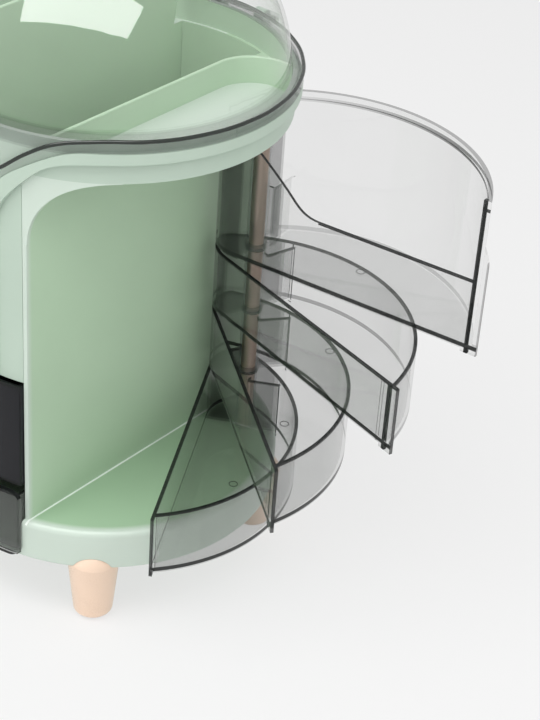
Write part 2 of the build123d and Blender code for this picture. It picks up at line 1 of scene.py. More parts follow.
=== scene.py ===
"""Looks of a round makeup organizer with swing trays, front drawers and a clear dome lid."""

import json
from collections import namedtuple
from math import atan2, cos, pi, radians, sin, sqrt

import bpy
from bpy.props import FloatProperty, FloatVectorProperty, PointerProperty
from mathutils import Matrix, Vector


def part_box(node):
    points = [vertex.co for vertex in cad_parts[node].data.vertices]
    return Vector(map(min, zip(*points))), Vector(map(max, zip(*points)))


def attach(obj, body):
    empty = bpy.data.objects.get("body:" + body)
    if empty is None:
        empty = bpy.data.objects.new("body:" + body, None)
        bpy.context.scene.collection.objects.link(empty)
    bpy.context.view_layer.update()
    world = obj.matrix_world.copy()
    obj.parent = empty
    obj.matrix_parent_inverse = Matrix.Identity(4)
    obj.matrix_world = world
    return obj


bl_info = {
    "name": "Makeup organizer looks",
    "version": (1, 0, 0),
    "blender": (4, 5, 0),
    "location": "3D View > Sidebar > Organizer",
    "description": "Finishes, camera and studio for a makeup organizer with swing trays",
    "category": "Object",
}

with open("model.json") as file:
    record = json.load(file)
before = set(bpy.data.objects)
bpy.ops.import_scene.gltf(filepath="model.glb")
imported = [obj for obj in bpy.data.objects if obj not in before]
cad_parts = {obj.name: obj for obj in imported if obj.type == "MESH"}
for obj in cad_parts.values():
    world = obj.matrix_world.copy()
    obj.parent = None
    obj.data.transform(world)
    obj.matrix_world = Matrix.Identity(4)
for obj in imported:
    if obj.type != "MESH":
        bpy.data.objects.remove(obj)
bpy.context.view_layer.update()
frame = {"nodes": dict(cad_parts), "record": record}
NODES = frame["nodes"]
JOINTS = {joint["name"]: joint for joint in frame["record"]["behaviour"]["joints"]}

SIDES = ("right", "left")
TRAYS = (1, 2, 3, 4)
LEGS = (1, 2, 3, 4)
TRIM_NODES = ["arch_trim", "column_front"]
BODY_NODES = ["base", "column_back", "drawer_shelf", "well_floor", "deck_partition", "well_panel"]
BODY_NODES += [f"side_frame_{side}" for side in SIDES]

FOOT_LINES = {1: 0.3, 2: 0.5, 3: 1.0, 4: 1.0}  # strength of the dark line round each tray's rounded wall
LEVEL_FROM = 0.4             # upward part of a face's direction from which it counts as level
FLAT_FROM = 0.95             # and from which it counts as quite flat
MARK_FROM = 0.05             # strength from which a mark has the dark colour of the edges
POST_STREAKS = (900.0, 900.0, 12.0)  # streaks per metre on the posts: fine across, long along them
SEEN_RAYS = ("Camera", "Glossy", "Transmission")
WHITE = (1.0, 1.0, 1.0, 1.0)

# Right half of the lid's lower edge, which dips at the front: distance from the middle and height
LID_EDGE = ((0.0, 0.3085), (0.0226, 0.3233), (0.0406, 0.3376), (0.0559, 0.3466), (0.0760, 0.3510))
BEAD_STEPS = 18              # stretches of the bead's level part

# Roughness and refractive index of the gloss on see-through plastic
Gloss = namedtuple("Gloss", "roughness index")
TRAY_GLOSS = Gloss(0.04, 1.45)
COLLAR_GLOSS = Gloss(0.06, 1.45)
DRAWER_GLOSS = Gloss(0.06, 1.2)
DOME_GLOSS = Gloss(0.015, 1.75)

# Flat lamps: place, point they shine at, size, roll in degrees, setting of their power, rays that miss them
Lamp = namedtuple("Lamp", "name spot target size roll power missed_by")
BOX_SHAPE = {"target": (0.03, -0.06, 0.42), "size": (1.6, 0.6), "roll": 17.0}
LAMPS = (
    Lamp("soft_box", (0.05, -0.60, 1.52), power="key", missed_by=(), **BOX_SHAPE),
    Lamp("soft_box_sheen", (0.05, -0.59, 1.50), power="sheen", missed_by=("diffuse",), **BOX_SHAPE),
    Lamp("front_lamp", (-0.3, -1.8, 0.9), (0.0, 0.0, 0.2), (1.4, 1.2), 0.0, "front", ("glossy",)),
    Lamp("fill_lamp", (1.45, 0.0, 1.35), (0.05, 0.0, 0.25), (1.2, 1.2), 0.0, "fill", ("glossy",)),
)


def screen_to_linear(level):
    """Turns a screen level from 0 to 1 into the linear level that shaders use."""
    if level <= 0.04045:
        return level / 12.92
    return ((level + 0.055) / 1.055) ** 2.4


def colour(name, words, red, green, blue):
    """A colour property, with its default given as screen values from 0 to 255."""
    linear = [screen_to_linear(level / 255.0) for level in (red, green, blue)]
    return FloatVectorProperty(name=name, description=words, default=linear,
                               subtype="COLOR", size=3, min=0.0, max=1.0)


def length(name, words, metres):
    """A length property."""
    return FloatProperty(name=name, description=words, default=metres, unit="LENGTH", precision=5)


def share(name, words, default):
    """A property between 0 and 1."""
    return FloatProperty(name=name, description=words, default=default, min=0.0, max=1.0, subtype="FACTOR")


def power(name, words, watts):
    """A lamp's power."""
    return FloatProperty(name=name, description=words, default=watts, unit="POWER")


class FinishColours(bpy.types.PropertyGroup):
    """Colours of the organizer's finishes."""

    mint: colour("Mint", "Satin plastic of the outside and the shelves", 201, 215, 203)
    # Painted shade: the raised trim and the deck's outer band get a darker mint for the shade that falls
    # there.
    trim_shade_mint: colour("Trim mint", "The same plastic on the raised trim", 182, 200, 185)
    # Painted shade: the inside of the bays and the well gets a deeper, darker mint for the shade that falls
    # there.
    inside_shade_mint: colour("Deep mint", "The same plastic inside the bays and the well", 180, 207, 177)
    # Painted shade: the floor of the base gets a darker mint.
    floor_shade_mint: colour("Floor mint", "The same plastic on the floor of the base", 163, 193, 161)
    # Painted highlight: a light line on the base's floor along the foot of the column's walls, where a small
    # fillet would catch the light.
    highlight_mint: colour("Light mint", "The fine line where the column stands on the base", 236, 244, 237)
    smoky: colour("Smoky", "Haze of the tray walls", 88, 93, 88)
    smoky_edge: colour("Smoky edge", "Cut edges of the trays and drawers", 22, 25, 24)
    lower_drawer: colour("Lower drawer", "Haze of the lower drawer's walls", 110, 113, 110)
    upper_drawer: colour("Upper drawer", "Haze of the upper drawer's walls", 27, 28, 32)
    clear: colour("Clear", "Haze of the dome", 214, 222, 214)
    lid_rim: colour("Lid rim", "Dark bead along the edge of the lid", 34, 41, 36)
    rose: colour("Rose", "Satin plastic of the legs", 241, 213, 190)
    rose_metal: colour("Rose metal", "Plated posts", 214, 190, 173)
    rubber: colour("Rubber", "Pads under the legs", 190, 190, 186)
    steel: colour("Steel", "Studs and the hinge pin", 178, 178, 176)


class FinishSizes(bpy.types.PropertyGroup):
    """Sizes and strengths that the finishes use."""

    mint_satin: share("Mint satin", "Roughness of the mint plastic", 0.36)
    leg_satin: share("Leg satin", "Roughness of the legs", 0.28)
    bead_satin: share("Bead satin", "Roughness of the bead on the lid", 0.16)
    pad_satin: share("Pad satin", "Roughness of the rubber pads", 0.7)
    grain: length("Moulding grain", "Size of the fine moulded grain", 0.0006)
    grain_depth: length("Grain depth", "Depth of that grain", 0.0002)
    grain_bump: share("Grain bump", "How strongly it shows", 0.06)
    grain_gloss: share("Grain gloss", "How much it changes the roughness", 0.05)
    flow: length("Flow marks", "Size of the broad unevenness of moulded plastic", 0.05)
    flow_gloss: share("Flow gloss", "How much the flow marks change the roughness", 0.08)
    haze: length("Haze", "Size of the unevenness of see-through plastic", 0.04)
    haze_spread: share("Haze spread", "How much its haze varies", 0.3)
    wear: length("Wear", "Size of the wear marks on steel", 0.002)

    wall_cover: share("Wall cover", "How much one face of a tray wall hides", 0.118)
    panel_cover: share("Panel cover", "How much one face of the tall panel hides", 0.055)
    floor_cover: share("Floor cover", "How much one face of a tray floor hides", 0.15)
    hub_cover: share("Hub cover", "How much one face hides near a tray's pivot", 0.33)
    sleeve_cover: share("Sleeve cover", "How much one face of the sleeve round a post hides", 0.16)
    rib_cover: share("Rib cover", "How much one face of a cross rib hides", 0.1652)
    lower_cover: share("Lower drawer cover", "How much one face of the lower drawer hides", 0.32)
    upper_cover: share("Upper drawer cover", "How much one face of the upper drawer hides", 0.85)
    lid_cover: share("Lid cover", "How much one face of the dome hides", 0.015)
    lid_side: share("Lid side", "How much more the dome hides where it is seen edge on", 0.3)
    skirt_cover: share("Skirt cover", "How much one face of the lid's skirt hides", 0.16)
    edge_cover: share("Edge cover", "How much a dark edge hides", 0.96)
    edge_dull: share("Edge dull", "How much less a dark edge shines", 0.6)
    faint_mark: share("Faint mark", "Strength of the faint lines on the trays", 0.5)
    strong_mark: share("Strong mark", "Strength of the lines on ribs and pulls", 0.85)
    drawer_mark: share("Drawer mark", "Strength of the line below a drawer's rim", 0.7)
    top_mark: share("Top mark", "Strength of the line on top of the tall panel", 0.45)
    rim_mark: share("Rim mark", "Strength of the line below that panel's rim, at the pivot", 0.12)
    rim_rise: FloatProperty(name="Rim rise", description="How much it grows with each metre from the pivot",
                            default=4.8)

    hub: length("Hub", "From a tray's pivot to the outside of its straight wall", 0.027)
    wall: length("Wall", "Thickness of the tray walls and floors", 0.0022)
    straight: length("Straight", "Depth that counts as the straight wall", 0.002376)
    above_floor: length("Above floor", "Height above the bottom where a level face is an edge", 0.0066)
    corner: length("Corner", "From the pivot to the corner line of the straight wall", 0.1738)
    pull: length("Pull", "From the pivot to the end of the pull", 0.181)
    pull_root: length("Pull root", "From the pivot to the fine line before a pull", 0.1668)
    line: length("Line", "Half the width of a fine dark line", 0.0009)
    corner_line: length("Corner line", "Half the width of the dark line in a corner", 0.0013)
    foot_low: length("Foot low", "Lower edge of the dark line round a tray's floor", 0.0010)
    foot_high: length("Foot high", "Upper edge of that line", 0.0041)
    round_wall: length("Round wall", "From the middle of a closed tray's round wall to its outside", 0.113)
    skin: length("Skin", "Depth that counts as the outside of a wall", 0.0005)
    tray_height: length("Tray height", "Height of the lower trays", 0.0455)
    # The darker part round the pivot is painted shade.
    hub_end: length("Hub end", "How far the darker part round the pivot reaches into a tray", 0.003)
    sleeve: length("Sleeve", "Radius of the sleeve round the post", 0.0071)
    rib: length("Rib", "From the pivot to the middle of the cross rib", 0.0102)
    rib_half: length("Rib half", "Half the thickness of the cross rib", 0.0013)
    rib_end: length("Rib end", "From the pivot to the far end of the rib", 0.0247)
    rib_top: length("Rib top", "Upper edge of the rib above the tray's bottom", 0.0425)
    boss_along: length("Boss along", "From the pivot to the raised ring on the floor", 0.077)
    boss_across: length("Boss across", "Raised ring beside the line through the pivot", 0.007)
    boss: length("Boss", "Radius of the raised ring", 0.0032)
    tall: length("Tall panel", "Height of the top tray's panel", 0.1045)
    tall_rim: length("Tall rim", "Height of the rim along that panel", 0.0055)
    tall_front: length("Tall front", "Height of the top tray's straight wall", 0.0485)
    sweep_end: length("Sweep end", "From the pivot to where that wall's edge runs level", 0.062)

    # The deeper colour inside is painted shade.
    inside: length("Inside", "Distance from the middle where the plastic is deepest in colour", 0.112)
    outside: length("Outside", "Distance from the middle where it is palest", 0.1157)
    # The pale floor is painted light from above.
    wing_back: length("Wing back", "Where the pale floor of the right shelf ends towards the back", 0.072)
    floor_top: length("Floor top", "Height below which a level face is the base's floor", 0.08)
    column: length("Column", "From the middle plane to the outside of the column's walls", 0.037)
    # The light line is a painted highlight.
    column_line: length("Column line", "Width of the light line along their feet", 0.0014)
    skirt_top: length("Skirt top", "Height where the dome meets its skirt", 0.3602)
    skirt_low: length("Skirt low", "Height where the grey part of the skirt starts", 0.3495)
    bead: length("Lid bead", "Half the thickness of the bead on the lid", 0.0012)
    bead_radius: length("Lid bead radius", "From the middle of the lid to its bead", 0.1194)
    bead_lift: length("Lid bead height", "Bead above the lid's lower edge", 0.0076)


class StudioSettings(bpy.types.PropertyGroup):
    """Camera, light and background."""

    lens: FloatProperty(name="Lens", description="Focal length", default=96.53, unit="CAMERA")
    film: FloatProperty(name="Film", description="Width of the camera's frame", default=36.0, unit="CAMERA")
    camera_spot: FloatVectorProperty(name="Camera spot", description="Where the camera stands",
                                     default=(0.75507, -0.80344, 0.86596), subtype="TRANSLATION")
    camera_aim: FloatVectorProperty(name="Camera aim", description="Direction the camera looks in",
                                    default=(-0.506602, 0.662630, -0.551612), subtype="DIRECTION")
    camera_up: FloatVectorProperty(name="Camera up", description="Direction of the top of the picture",
                                   default=(-0.392172, 0.392672, 0.831872), subtype="DIRECTION")
    background: colour("Background", "Pale studio background", 239, 239, 239)
    floor_glow: colour("Floor glow", "Plain part of the floor's colour", 245, 245, 245)
    floor_half: length("Floor half", "Half the width of the floor", 6.0)
    backdrop: share("Backdrop", "How much of the floor shows the plain background", 0.72)
    sky: FloatProperty(name="Sky", description="Strength of the light from all round", default=0.55)
    key: power("Key", "Power of the soft box above the front", 12.0)
    sheen: power("Sheen", "Power of the soft box in reflections only", 12.0)
    front: power("Front", "Power of the lamp before the object", 8.0)
    fill: power("Fill", "Power of the lamp at the right", 8.0)


class Value:
    """A socket of a node, for use in Python expressions; each one adds a Math node."""

    def __init__(self, nodes, socket):
        self.nodes = nodes
        self.socket = socket

    def __add__(self, other):
        return self.nodes.maths("ADD", self, other)

    def __radd__(self, other):
        return self.nodes.maths("ADD", other, self)

    def __sub__(self, other):
        return self.nodes.maths("SUBTRACT", self, other)

    def __rsub__(self, other):
        return self.nodes.maths("SUBTRACT", other, self)

    def __mul__(self, other):
        return self.nodes.maths("MULTIPLY", self, other)

    def __rmul__(self, other):
        return self.nodes.maths("MULTIPLY", other, self)

    def __gt__(self, other):
        return self.nodes.maths("GREATER_THAN", self, other)

    def __lt__(self, other):
        return self.nodes.maths("LESS_THAN", self, other)

    def __or__(self, other):
        return self.nodes.maths("MAXIMUM", self, other)

    def __abs__(self):
        return self.nodes.maths("ABSOLUTE", self, 0.0)


class ShaderNodes:
    """The nodes of a material or of the world, and the calls that build them."""

    def __init__(self, owner):
        owner.use_nodes = True
        self.tree = owner.node_tree
        self.tree.nodes.clear()

    def node(self, kind, settings=None, sockets=None, outlet=0):
        """Adds a node, sets it, fills its sockets with values or links and returns one outlet."""
        made = self.tree.nodes.new(kind)
        for name, value in (settings or {}).items():
            setattr(made, name, value)
        for name, value in (sockets or {}).items():
            socket = made.inputs[name]
            if isinstance(value, Value):
                self.tree.links.new(value.socket, socket)
            else:
                socket.default_value = value
        return Value(self, made.outputs[outlet]) if len(made.outputs) else None

    def maths(self, operation, first, second):
        """Works on two values, either of which may be a number or a socket."""
        return self.node("ShaderNodeMath", {"operation": operation}, {0: first, 1: second})

    def mix(self, portion, first, second):
        """Goes from the first colour to the second as the portion rises."""
        return self.node("ShaderNodeMix", {"data_type": "RGBA"},
                         {"Factor": portion, 6: first, 7: second}, outlet=2)

    def blend(self, portion, first, second):
        """Goes from the first shader to the second as the portion rises."""
        return self.node("ShaderNodeMixShader", None, {0: portion, 1: first, 2: second})

    def seen(self):
        """1 for rays from the camera, off a gloss or through a clear piece, else 0."""
        seen, *others = [self.node("ShaderNodeLightPath", outlet=f"Is {kind} Ray") for kind in SEEN_RAYS]
        for other in others:
            seen = seen | other
        return seen


class Finish(ShaderNodes):
    """A material for the organizer's pieces."""

    def __init__(self, name):
        self.material = bpy.data.materials.new(name)
        super().__init__(self.material)

    def place(self):
        """Position on the piece, in metres in the object's own frame."""
        return self.node("ShaderNodeTexCoord", outlet="Object")

    def axes(self, vector):
        """The three numbers of a vector."""
        parts = self.node("ShaderNodeSeparateXYZ", None, {0: vector})
        return [Value(self, socket) for socket in parts.socket.node.outputs]

    def steepness(self):
        """1 on level faces, 0 on upright ones."""
        direction = self.node("ShaderNodeTexCoord", outlet="Normal")
        return abs(self.axes(direction)[2])

    def level(self):
        """1 on faces that are more or less level, else 0."""
        return self.steepness() > LEVEL_FROM

    def noise(self, size, detail=2.0):
        """Soft unevenness from 0 to 1, with features of about this size in metres."""
        return self.node("ShaderNodeTexNoise", None,
                         {"Vector": self.place(), "Scale": 1.0 / size, "Detail": detail})

    def bump(self, height, strength, distance):
        """Surface direction roughened by a height."""
        return self.node("ShaderNodeBump", None,
                         {"Height": height, "Strength": strength, "Distance": distance})

    def surface(self, shader):
        """Closes the material with its shader."""
        self.node("ShaderNodeOutputMaterial", None, {"Surface": shader})

    def dress(self, names):
        """Gives this finish to the named nodes."""
        for name in names:
            mesh = NODES[name].data
            mesh.materials.clear()
            mesh.materials.append(self.material)


def solid_colour(values):
    """A property's colour with full cover."""
    return (*values, 1.0)


def shade(values, factor):
    """A property's colour made lighter or darker."""
    return (*(min(1.0, level * factor) for level in values), 1.0)


def between(value, low, high):
    """1 where a value lies between two limits, else 0."""
    return (value > low) * (value < high)


def squared_distance(first, second):
    """Square of the distance that two steps at a right angle make."""
    return first * first + second * second


def outer_parts(finish, sizes):
    """0 well inside the round body, rising to 1 at its outside: where the painted shade of the inside gives
    way to a paler mint.
    """
    x, y, _ = finish.axes(finish.place())
    from_middle = finish.maths("SQRT", squared_distance(x, y), 0.0)
    return (from_middle - sizes.inside) * (1.0 / (sizes.outside - sizes.inside))


def lit_shelf_floors(finish, sizes):
    """1 on the level floors of the top shelves, else 0: they get the pale mint as painted light from above.
    """
    x, y, _ = finish.axes(finish.place())
    return finish.level() * ((y < sizes.wing_back) | (x < 0.0))


def base_floors(finish, sizes):
    """1 on the level floor of the base, else 0. The mint shell paints shade there."""
    height = finish.axes(finish.place())[2]
    return finish.level() * (height < sizes.floor_top)


def foot_highlight(finish, sizes):
    """1 on a fine line of the base's floor along the walls of the column, else 0: where the painted
    highlight lies.
    """
    from_plane = abs(finish.axes(finish.place())[0])
    return base_floors(finish, sizes) * between(from_plane, sizes.column, sizes.column + sizes.column_line)


def satin_plastic(name, tint, roughness, sizes, spread=0.04, other_parts=()):
    """Moulded satin plastic: flow marks in colour and gloss, a fine grain, and other tints on some parts;
    the mint shell uses those for painted shade, painted light and a painted highlight.
    """
    finish = Finish(name)
    flow = finish.noise(sizes.flow)
    grain = finish.noise(sizes.grain, detail=1.0)
    base = finish.mix(flow, shade(tint, 1.0 - spread), shade(tint, 1.0 + spread))
    for other_tint, portion in other_parts:
        other = finish.mix(flow, shade(other_tint, 1.0 - spread), shade(other_tint, 1.0 + spread))
        base = finish.mix(portion(finish, sizes), base, other)
    shader = finish.node("ShaderNodeBsdfPrincipled", None, {
        "Base Color": base,
        "Roughness": roughness + (flow - 0.5) * sizes.flow_gloss + (grain - 0.5) * sizes.grain_gloss,
        "Normal": finish.bump(grain, sizes.grain_bump, sizes.grain_depth),
        "IOR": 1.48,
    })
    finish.surface(shader)
    return finish


def metal(name, pattern, tint, darkest, lightest, smoothest, spread):
    """Bare metal whose colour and roughness follow a pattern."""
    finish = Finish(name)
    marks = pattern(finish)
    shader = finish.node("ShaderNodeBsdfPrincipled", None, {
        "Base Color": finish.mix(marks, shade(tint, darkest), shade(tint, lightest)),
        "Metallic": 1.0,
        "Roughness": smoothest + marks * spread,
    })
    finish.surface(shader)
    return finish


def see_through_plastic(name, tint, edge_tint, gloss, sizes, pattern):
    """Thin see-through plastic: a faint haze, dark edges where they are marked, and a gloss."""
    finish = Finish(name)
    flow = finish.noise(sizes.haze)
    marked, cover = pattern(finish, sizes)
    haze = cover * (1.0 - 0.5 * sizes.haze_spread + flow * sizes.haze_spread)
    body = finish.node("ShaderNodeBsdfPrincipled", None, {
        "Base Color": finish.mix(marked > MARK_FROM, solid_colour(tint), solid_colour(edge_tint)),
        "Alpha": haze + marked * (sizes.edge_cover - haze),
        "Roughness": 0.2 + flow * 0.1,
        "Specular IOR Level": 0.15,
    })
    shine = finish.node("ShaderNodeBsdfGlossy", None, {"Roughness": gloss.roughness})
    fresnel = finish.node("ShaderNodeFresnel", None, {"IOR": gloss.index})
    front = 1.0 - finish.node("ShaderNodeNewGeometry", outlet="Backfacing")
    finish.surface(finish.blend(fresnel * front * (1.0 - marked * sizes.edge_dull), body, shine))
    return finish


class TraySpot:
    """Where a point lies on a tray: along its straight wall, across it and above its bottom."""

    def __init__(self, finish, joint, sizes):
        pivot_x, pivot_y, bottom = joint["pos_m"]
        sign = joint["axis"][2]
        turn = sign * radians(-joint["range_deg"][0])
        x, y, z = finish.axes(finish.place())
        right = x - pivot_x
        behind = y - pivot_y
        self.along = right * sin(turn) - behind * cos(turn)
        self.across = right * (sign * cos(turn)) + behind * (sign * sin(turn))
        self.height = z - bottom
        self.level = finish.level()
        self.not_flat = finish.steepness() < FLAT_FROM
        self.straight = self.across < sizes.straight - sizes.hub
        self.above_floor = self.height > sizes.above_floor
        self.pivot_gap = squared_distance(self.along, self.across)
        self.middle_gap = squared_distance(self.along - pivot_y, self.across + sign * pivot_x)
        self.sleeve = self.pivot_gap < sizes.sleeve ** 2
        self.end = self.along > sizes.pull - 0.5 * sizes.line


def foot_line(spot, sizes, strength):
    """Dark line on the outside of a tray, round its floor; the strength is that on the rounded wall."""
    straight = spot.across < sizes.skin - sizes.hub
    rounded = spot.middle_gap > (sizes.round_wall - sizes.skin) ** 2
    hub = (spot.along < 0.0) * (spot.pivot_gap > (sizes.hub - sizes.skin) ** 2)
    band = between(spot.height, sizes.foot_low, sizes.foot_high) * spot.not_flat
    return band * (straight | hub | rounded * strength)


def floor_ring(spot, sizes):
    """Edge of the raised ring on a tray's floor."""
    gap = squared_distance(spot.along - sizes.boss_along, spot.across - sizes.boss_across)
    ring = between(gap, (sizes.boss - sizes.line) ** 2, (sizes.boss + 0.3 * sizes.line) ** 2)
    return ring * between(spot.height, 1.2 * sizes.wall, 2 * sizes.wall)


def cross_rib(spot, sizes):
    """1 on the cross rib beside a tray's pivot, else 0."""
    thickness = between(spot.along, sizes.rib - sizes.rib_half, sizes.rib + sizes.rib_half)
    reach = between(spot.across, sizes.line, sizes.rib_end)
    return thickness * reach * (spot.height < sizes.rib_top + 4 * sizes.line)


def tray_marks(spot, sizes, foot_strength):
    """Dark lines that all the trays have, and a darker part round the pivot, which is painted shade."""
    corner = (abs(spot.along - sizes.corner) < sizes.corner_line) * spot.straight
    # Painted shade: the hub round the pivot is darkened, as the hub wall is seen edge on in front of shaded
    # mint.
    hub = (spot.along < sizes.hub_end) * (1.0 - spot.sleeve)
    foot = foot_line(spot, sizes, foot_strength)
    return foot | corner | floor_ring(spot, sizes) * sizes.faint_mark | hub * sizes.hub_cover


def tall_marks(spot, sizes, on_rib):
    """Dark lines of the top tray: its swept wall, and the rim and top of its tall panel."""
    line = sizes.line
    rim_low = sizes.tall - sizes.tall_rim
    swept = spot.level * spot.above_floor * (spot.height < rim_low - line) * (1.0 - on_rib)
    swept = swept * (spot.along < sizes.corner + line)
    front = between(spot.height, sizes.tall_front - 1.3 * line, sizes.tall_front + 0.1 * line)
    front = front * spot.straight * between(spot.along, sizes.sweep_end, sizes.corner)
    rim = between(spot.height, rim_low - 2 * line, rim_low + 0.6 * line)
    rim = rim * (sizes.rim_mark + spot.along * sizes.rim_rise)
    top = spot.level * (spot.height > sizes.tall - line) * sizes.top_mark
    rib_root = on_rib * (spot.across < 0.5 * sizes.rib_end) * sizes.hub_cover
    return swept | front | rim | top | spot.end * sizes.faint_mark | rib_root


def low_marks(spot, sizes, on_rib):
    """Dark lines of the lower trays: their rims, the frames of their ribs and their pulls."""
    line = sizes.line
    rib_frame = (spot.across > sizes.rib_end - line) | (spot.height > sizes.rib_top - line)
    pull = (abs(spot.along - sizes.pull_root) < 0.4 * line) * spot.straight * sizes.faint_mark
    rim = (spot.height > sizes.tray_height - 1.3 * line) * (1.0 - spot.level)
    strong = (spot.end | on_rib * rib_frame) * sizes.strong_mark
    return spot.level * spot.above_floor | rim | strong | pull


def tray_pattern(side, number):
    """Returns a function that gives the dark edges and the haze of one swing tray."""
    joint = JOINTS[f"tray_{side}_{number}_swing"]
    tall = number == TRAYS[0]

    def pattern(finish, sizes):
        spot = TraySpot(finish, joint, sizes)
        on_rib = cross_rib(spot, sizes)
        marked = tray_marks(spot, sizes, FOOT_LINES[number])
        walls = sizes.panel_cover if tall else sizes.wall_cover
        cover = walls + spot.level * (sizes.floor_cover - walls)
        cover = cover | spot.sleeve * sizes.sleeve_cover
        if tall:
            return marked | tall_marks(spot, sizes, on_rib), cover
        return marked | low_marks(spot, sizes, on_rib), cover | on_rib * sizes.rib_cover
    return pattern


def drawer_pattern(name, cover):
    """Returns a function that gives the dark rim and foot of a drawer, and its haze."""
    low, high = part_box(name)

    def pattern(finish, sizes):
        height = finish.axes(finish.place())[2]
        level = finish.level()
        rim = level * (height > low.z + sizes.above_floor)
        foot = (height < low.z + sizes.wall) * (1.0 - level)
        top = (height > high.z - sizes.wall) * (1.0 - level)
        return rim | foot | top * sizes.drawer_mark, cover
    return pattern


def lid_pattern(finish, sizes):
    """Gives the grey skirt of the lid, and a haze that grows at the dome's side."""
    height = finish.axes(finish.place())[2]
    facing = finish.node("ShaderNodeLayerWeight", None, {"Blend": 0.5}, outlet="Facing")
    squared = facing * facing
    cover = sizes.lid_cover + squared * squared * sizes.lid_side
    return between(height, sizes.skirt_low, sizes.skirt_top) * sizes.skirt_cover, cover


def collar_pattern(finish, sizes):
    """Gives the same haze all over, and no edges."""
    return 0.0, sizes.hub_cover


def post_streaks(finish):
    """Long fine streaks down a post."""
    stretched = finish.node("ShaderNodeMapping", None, {"Vector": finish.place(), "Scale": POST_STREAKS})
    return finish.node("ShaderNodeTexNoise", None, {"Vector": stretched, "Scale": 1.0, "Detail": 2.0})


class PieceOperator:
    """What the operators share: the settings of the scene."""

    @property
    def colours(self):
        """Colours of the finishes."""
        return bpy.context.scene.organizer_colours

    @property
    def sizes(self):
        """Sizes and strengths of the finishes."""
        return bpy.context.scene.organizer_sizes


class ORGANIZER_OT_mint_shell(PieceOperator, bpy.types.Operator):
    """Finishes the base, column, deck and trim in satin mint plastic, with painted shade inside and on the
    trim, painted light on the shelf floors and a painted highlight along the column's foot
    """

    bl_idname = "organizer.mint_shell"
    bl_label = "Mint shell"

    def execute(self, context):
        sizes = self.sizes
        pale = self.colours.mint
        # The trim mint of the next line is painted shade on the trim.
        trim = self.colours.trim_shade_mint
        # The mint of the next line is painted shade inside the bays and the well.
        inside_shade = self.colours.inside_shade_mint
        # The floor mint of the next line is painted shade on the base's floor.
        body_parts = [(self.colours.floor_shade_mint, base_floors), (pale, outer_parts),
                      # The light mint of the next line is a painted highlight.
                      (self.colours.highlight_mint, foot_highlight)]
        # On the deck, the pale mint of the level shelf floors is painted light from above, and the rest
        # keeps the painted shade of the trim and deep mints.
        deck_parts = [(trim, outer_parts), (pale, lit_shelf_floors)]
        satin_plastic("mint_trim", trim, sizes.mint_satin, sizes).dress(TRIM_NODES)
        satin_plastic("mint_body", inside_shade, sizes.mint_satin, sizes, other_parts=body_parts).dress(BODY_NODES)
        satin_plastic("mint_deck", inside_shade, sizes.mint_satin, sizes, other_parts=deck_parts).dress(["top_deck"])
        return {"FINISHED"}


class ORGANIZER_OT_swing_trays(PieceOperator, bpy.types.Operator):
    """Finishes the swing trays in smoky see-through plastic with dark edges"""

    bl_idname = "organizer.swing_trays"
    bl_label = "Swing trays"

    def execute(self, context):
        for side in SIDES:
            for number in TRAYS:
                name = f"tray_{side}_{number}"
                finish = see_through_plastic(f"smoky_{name}", self.colours.smoky, self.colours.smoky_edge,
                                             TRAY_GLOSS, self.sizes, tray_pattern(side, number))
                finish.dress([name])
        return {"FINISHED"}


class ORGANIZER_OT_drawers(PieceOperator, bpy.types.Operator):
    """Finishes the two front drawers in darker smoky plastic"""

    bl_idname = "organizer.drawers"
    bl_label = "Drawers"

    def execute(self, context):
        looks = {"drawer_lower": (self.colours.lower_drawer, self.sizes.lower_cover),
                 "drawer_upper": (self.colours.upper_drawer, self.sizes.upper_cover)}
        for name, (tint, cover) in looks.items():
            finish = see_through_plastic(f"smoky_{name}", tint, self.colours.smoky_edge,
                                         DRAWER_GLOSS, self.sizes, drawer_pattern(name, cover))
            finish.dress([name])
        return {"FINISHED"}


class ORGANIZER_OT_dome_lid(PieceOperator, bpy.types.Operator):
    """Finishes the dome lid in clear polished plastic and lays the dark bead along its edge"""

    bl_idname = "organizer.dome_lid"
    bl_label = "Dome lid"

    def execute(self, context):
        finish = see_through_plastic("clear_plastic", self.colours.clear, self.colours.lid_rim,
                                     DOME_GLOSS, self.sizes, lid_pattern)
        finish.dress(["lid"])
        self.make_bead(context.scene)
        return {"FINISHED"}

    def bead_points(self):
        """Points round the lid: the dip at the front, then level round the back."""
        radius = self.sizes.bead_radius
        dip = [(-x, z) for x, z in reversed(LID_EDGE[1:])] + list(LID_EDGE)
        points = [(x, -sqrt(radius ** 2 - x ** 2), z + self.sizes.bead_lift) for x, z in dip]
        end_x, end_y, level = points[-1]
        start = atan2(end_y, end_x)
        sweep = pi - 2 * start
        for step in range(1, BEAD_STEPS):
            angle = start + sweep * step / BEAD_STEPS
            points.append((radius * cos(angle), radius * sin(angle), level))
        return points

    def make_bead(self, scene):
        """A rounded dark bead that follows the edge of the lid."""
        points = self.bead_points()
        curve = bpy.data.curves.new("lid_bead", "CURVE")
        curve.dimensions = "3D"
        curve.bevel_depth = self.sizes.bead
        curve.bevel_resolution = 4
        spline = curve.splines.new("BEZIER")
        spline.bezier_points.add(len(points) - 1)
        for knot, point in zip(spline.bezier_points, points):
            knot.co = point
            knot.handle_left_type = "AUTO"
            knot.handle_right_type = "AUTO"
        spline.use_cyclic_u = True
        bead = bpy.data.objects.new("lid_bead", curve)
        scene.collection.objects.link(bead)
        finish = satin_plastic("lid_rim_plastic", self.colours.lid_rim, self.sizes.bead_satin, self.sizes,
                               spread=0.12)
        curve.materials.append(finish.material)
        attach(bead, "lid")


